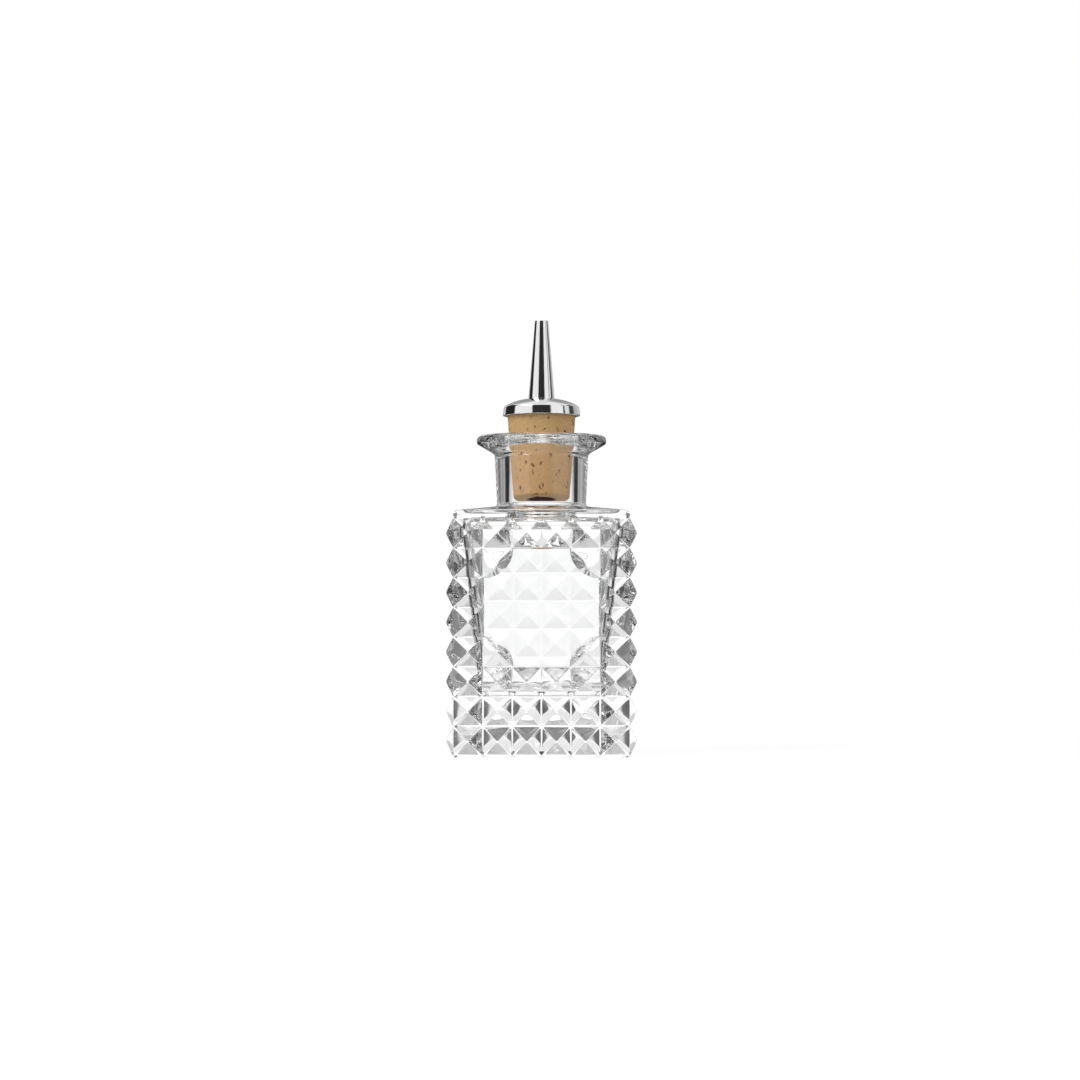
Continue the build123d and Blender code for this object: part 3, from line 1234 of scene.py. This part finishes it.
@dataclass
class Studio:
    """Camera, lamp, pale floor and the surroundings that glass and metal mirror."""

    camera_distance: float = 0.8
    camera_height: float = 33.9 * MM
    focal_length: float = 93.3
    sensor_width: float = 36.0
    shift: Pair = (-0.0014, 0.088)
    floor_size: float = 6.0
    floor_level: float = 0.5
    glow_run: Pair = (0.1, 0.8)
    glow_levels: Pair = (0.47, 0.58)
    lamp_size: float = 0.6
    lamp_watts: float = 6.2
    lamp_place: Point = (-0.8, -0.55, 0.9)
    lamp_aim: Point = (0.0, 0.0, 0.06)
    clutter: float = 0.35
    clutter_scale: float = 5.0
    clutter_run: Pair = (0.3, 0.7)
    clutter_sides: Pair = (0.82, 0.6)
    ceiling_level: float = 0.95
    ceiling_run: Pair = (0.62, 0.75)
    horizon_run: Pair = (0.0, -0.1)
    ground_level: float = 0.6
    ground_run: Pair = (-0.35, -0.6)
    soft_level: float = 0.9
    bounces: int = 24
    mirror_bounces: int = 12

    def camera(self) -> None:
        """Place the camera level with the middle of the body, straight on to the front."""
        data = bpy.data.cameras.new("camera")
        data.lens = self.focal_length
        data.sensor_width = self.sensor_width
        data.shift_x, data.shift_y = self.shift
        made = new_object("camera", data)
        made.location = (0.0, -self.camera_distance, self.camera_height)
        made.rotation_euler = (math.pi / 2, 0.0, 0.0)
        bpy.context.scene.camera = made

    def surroundings(self) -> None:
        """World: white behind the object, and surroundings of their own for all other rays."""
        world = bpy.data.worlds.new("studio")
        world.use_nodes = True
        world.node_tree.nodes.clear()
        graph = Graph(world.node_tree)
        place = graph.take("ShaderNodeTexCoord", output="Generated")
        right, away, up = graph.outputs("ShaderNodeSeparateXYZ", {0: place}).values()
        bearing = graph.math("ARCTAN2", right, away * -1.0)
        path = graph.outputs("ShaderNodeLightPath")
        scattered = graph.blend(
            path["Is Glossy Ray"], grey(self.soft_level), self.mirrored_room(bearing, up)
        )
        refracted = self.refracted_room(place, bearing, path["Glossy Depth"])
        colour = graph.blend(path["Is Transmission Ray"], scattered, refracted)
        colour = graph.blend(path["Is Camera Ray"], colour, WHITE)
        background = graph.take("ShaderNodeBackground", {"Color": colour})
        graph.add("ShaderNodeOutputWorld", {"Surface": background})
        bpy.context.scene.world = world

    def mirrored_room(self, bearing: Value, up: Value) -> Value:
        """What polished metal and the glass's surface mirror.

        Args:
            bearing: direction round, in radians from the camera's side.
            up: sine of the direction's height.

        Returns:
            The level met.
        """
        graph = bearing.graph
        share = graph.math("MULTIPLY_ADD", bearing, 1 / (2 * math.pi), 0.5)
        met = graph.ramp(share, MIRRORED_ROOM, start=180, span=360)
        layers = (
            (self.ceiling_run, grey(self.ceiling_level)),
            (self.horizon_run, graph.ramp(share, MIRRORED_BELOW, start=180, span=360)),
            (self.ground_run, grey(self.ground_level)),
        )
        for run, layer in layers:
            met = graph.blend(graph.fit(up, *run), met, layer)
        return met

    def refracted_room(self, place: Value, bearing: Value, turns: Value) -> Value:
        """What is seen through the glass.

        Args:
            place: the direction.
            bearing: the direction round, in radians from the camera's side.
            turns: how often the ray was mirrored inside the glass.

        Returns:
            The level met.
        """
        graph = place.graph
        right, away, up = graph.outputs("ShaderNodeSeparateXYZ", {0: place}).values()
        aside = graph.math("ARCTAN2", graph.math("ABSOLUTE", away), graph.math("ABSOLUTE", right))
        around = graph.math("DIVIDE", aside, math.pi / 2)
        rise = graph.math("ARCSINE", up) * (180 / math.pi)
        clouds = {"Vector": place, "Scale": self.clutter_scale, "Detail": 1.5}
        noise = graph.take("ShaderNodeTexNoise", clouds)
        clutter = graph.fit(noise, *self.clutter_run, 1 - self.clutter, 1 + self.clutter)
        sides = graph.fit(around, *self.clutter_sides)
        patchy = graph.math("MULTIPLY_ADD", clutter - 1.0, sides, 1.0)
        passing = self.room(around, rise, PASSING_LIGHT, span=90) * patchy
        from_front = graph.math("DIVIDE", graph.math("ABSOLUTE", bearing), math.pi)
        turned = self.room(from_front, rise, TURNED_LIGHT, span=180) * clutter
        return graph.blend(graph.math("GREATER_THAN", turns, 0.5), passing, turned)

    def room(self, around: Value, rise: Value, bands: Bands, span: float) -> Value:
        """Level met in each direction, blended between bands of one height.

        Args:
            around: how far round the direction lies, as a share of the span.
            rise: degrees above the horizon.
            bands: height in degrees of each band, and its degrees round and levels.
            span: degrees round that the bands cover.

        Returns:
            The level.
        """
        graph = around.graph
        below, levels = bands[0]
        met = graph.ramp(around, levels, 0, span)
        for height, levels in bands[1:]:
            ring = graph.ramp(around, levels, 0, span)
            met = graph.blend(graph.fit(rise, below, height), met, ring)
            below = height
        return met

    def floor(self) -> None:
        """A pale floor that keeps the object's soft shadow."""
        material, graph = new_material("pale_floor")
        matt = graph.take("ShaderNodeBsdfDiffuse", {"Color": grey(self.floor_level)})
        apart = graph.length(graph.take("ShaderNodeTexCoord", output="Object"))
        glow = graph.fit(apart, *self.glow_run, *self.glow_levels)
        path = graph.outputs("ShaderNodeLightPath")
        lift = graph.take("ShaderNodeEmission", {"Strength": path["Is Camera Ray"] * glow})
        seen = graph.take("ShaderNodeAddShader", {0: matt, 1: lift})
        unseen = graph.math("MAXIMUM", path["Is Glossy Ray"], path["Is Transmission Ray"])
        through = graph.take("ShaderNodeBsdfTransparent")
        mixed = graph.take("ShaderNodeMixShader", {0: unseen, 1: seen, 2: through})
        graph.surface(mixed)
        half = self.floor_size / 2
        corners = [(-half, -half, 0.0), (half, -half, 0.0), (half, half, 0.0), (-half, half, 0.0)]
        mesh = bpy.data.meshes.new("floor")
        mesh.from_pydata(corners, [], [(0, 1, 2, 3)])
        made = new_object("floor", mesh)
        made.data.materials.append(material)
        made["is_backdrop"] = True

    def lamp(self) -> None:
        """One broad soft lamp from the upper left."""
        data = bpy.data.lights.new("soft_lamp", "AREA")
        data.shape = "RECTANGLE"
        data.size = data.size_y = self.lamp_size
        data.energy = self.lamp_watts
        made = new_object("soft_lamp", data)
        made.location = self.lamp_place
        aim = Vector(self.lamp_aim) - made.location
        made.rotation_euler = aim.to_track_quat("-Z", "Y").to_euler()

    def build(self) -> None:
        """Set up the studio and the plain colour transform."""
        self.camera()
        self.surroundings()
        self.floor()
        self.lamp()
        scene = bpy.context.scene
        scene.view_settings.view_transform = "Standard"
        scene.cycles.max_bounces = scene.cycles.transmission_bounces = self.bounces
        scene.cycles.glossy_bounces = self.mirror_bounces


# Bearing in degrees from the camera's side, positive to the right, and the level met there
MIRRORED_FRONT = [
    (-91, 0.02), (-87, 1.0), (-31, 0.95), (-27, 0.03), (27, 0.03), (31, 0.95),
    (69, 1.0), (71, 0.1), (75, 0.1), (78, 0.9),
]
MIRRORED_ROOM = [
    (-180, 0.3), (-158, 0.45), (-143, 0.85), (-138, 0.02), *MIRRORED_FRONT,
    (93, 0.75), (95, 0.05), (113, 0.08), (117, 0.45), (139, 0.55), (148, 0.8), (158, 0.45),
    (180, 0.3),
]
# The same just below the horizon
MIRRORED_BELOW = [
    (-180, 0.3), (-172, 0.04), *MIRRORED_FRONT, (90, 0.75), (93, 0.04), (172, 0.04), (180, 0.3),
]
# Light that passes through the glass: degrees above the horizon, then degrees round from straight
# left or right (0) to straight front or back (90) with the level met there
PASSING_LIGHT = [
    (-75, [(0, 0.8)]),
    (-47, [(30, 0.85), (75, 0.7)]),
    (-23, [(18, 0.5), (48, 0.7), (68, 1.02), (83, 1.14)]),
    (0, [
        (0, 0.6), (20, 0.3), (32, 0.0), (42, 0.05), (47, 0.12), (50, 0.8),
        (63, 1.1), (72, 1.14), (79, 1.02), (84, 1.15), (90, 1.2),
    ]),
    (23, [(18, 0.6), (48, 0.6), (68, 0.68), (83, 0.72)]),
    (47, [(30, 0.7), (75, 0.5)]),
    (75, [(0, 0.9)]),
]
# Light that the glass has turned round inside: degrees above the horizon, then degrees round from
# the front (0) to the back (180) with the level met there
TURNED_LIGHT = [
    (-78, [(0, 0.6), (60, 0.0), (100, 0.1), (140, 1.5)]),
    (-47, [(0, 1.6), (25, 1.2), (38, 0.0), (115, 0.1), (140, 0.9), (160, 1.6)]),
    (-35, [(0, 1.2), (25, 0.7), (38, 0.0), (125, 0.0), (150, 0.7)]),
    (-23, [(0, 1.2), (25, 0.7), (38, 0.0), (125, 0.0), (150, 0.3)]),
    (0, [
        (0, 0.0), (100, 0.1), (112, 0.03), (134, 0.02), (139, 0.62), (165, 0.6), (173, 0.3),
        (180, 0.2),
    ]),
    (23, [(0, 1.0), (35, 0.7), (50, 0.0), (110, 0.0), (150, 0.06)]),
    (47, [(30, 0.3), (90, 1.1), (150, 0.45)]),
    (78, [(0, 1.25)]),
]


def main() -> None:
    """Build the studio and the object in order, and note both boxes."""
    logging.basicConfig(level=logging.INFO, format="%(message)s")
    Studio().build()
    GlassBottle().build(GlassFinish().material())
    DashStopper().build()
    boxes = {"cad": CAD_BOX, "visual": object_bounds()}
    for name, box in boxes.items():
        LOG.info("%s box: %s", name, [[round(value, 5) for value in corner] for corner in box])


if __name__ == "__main__":
    main()
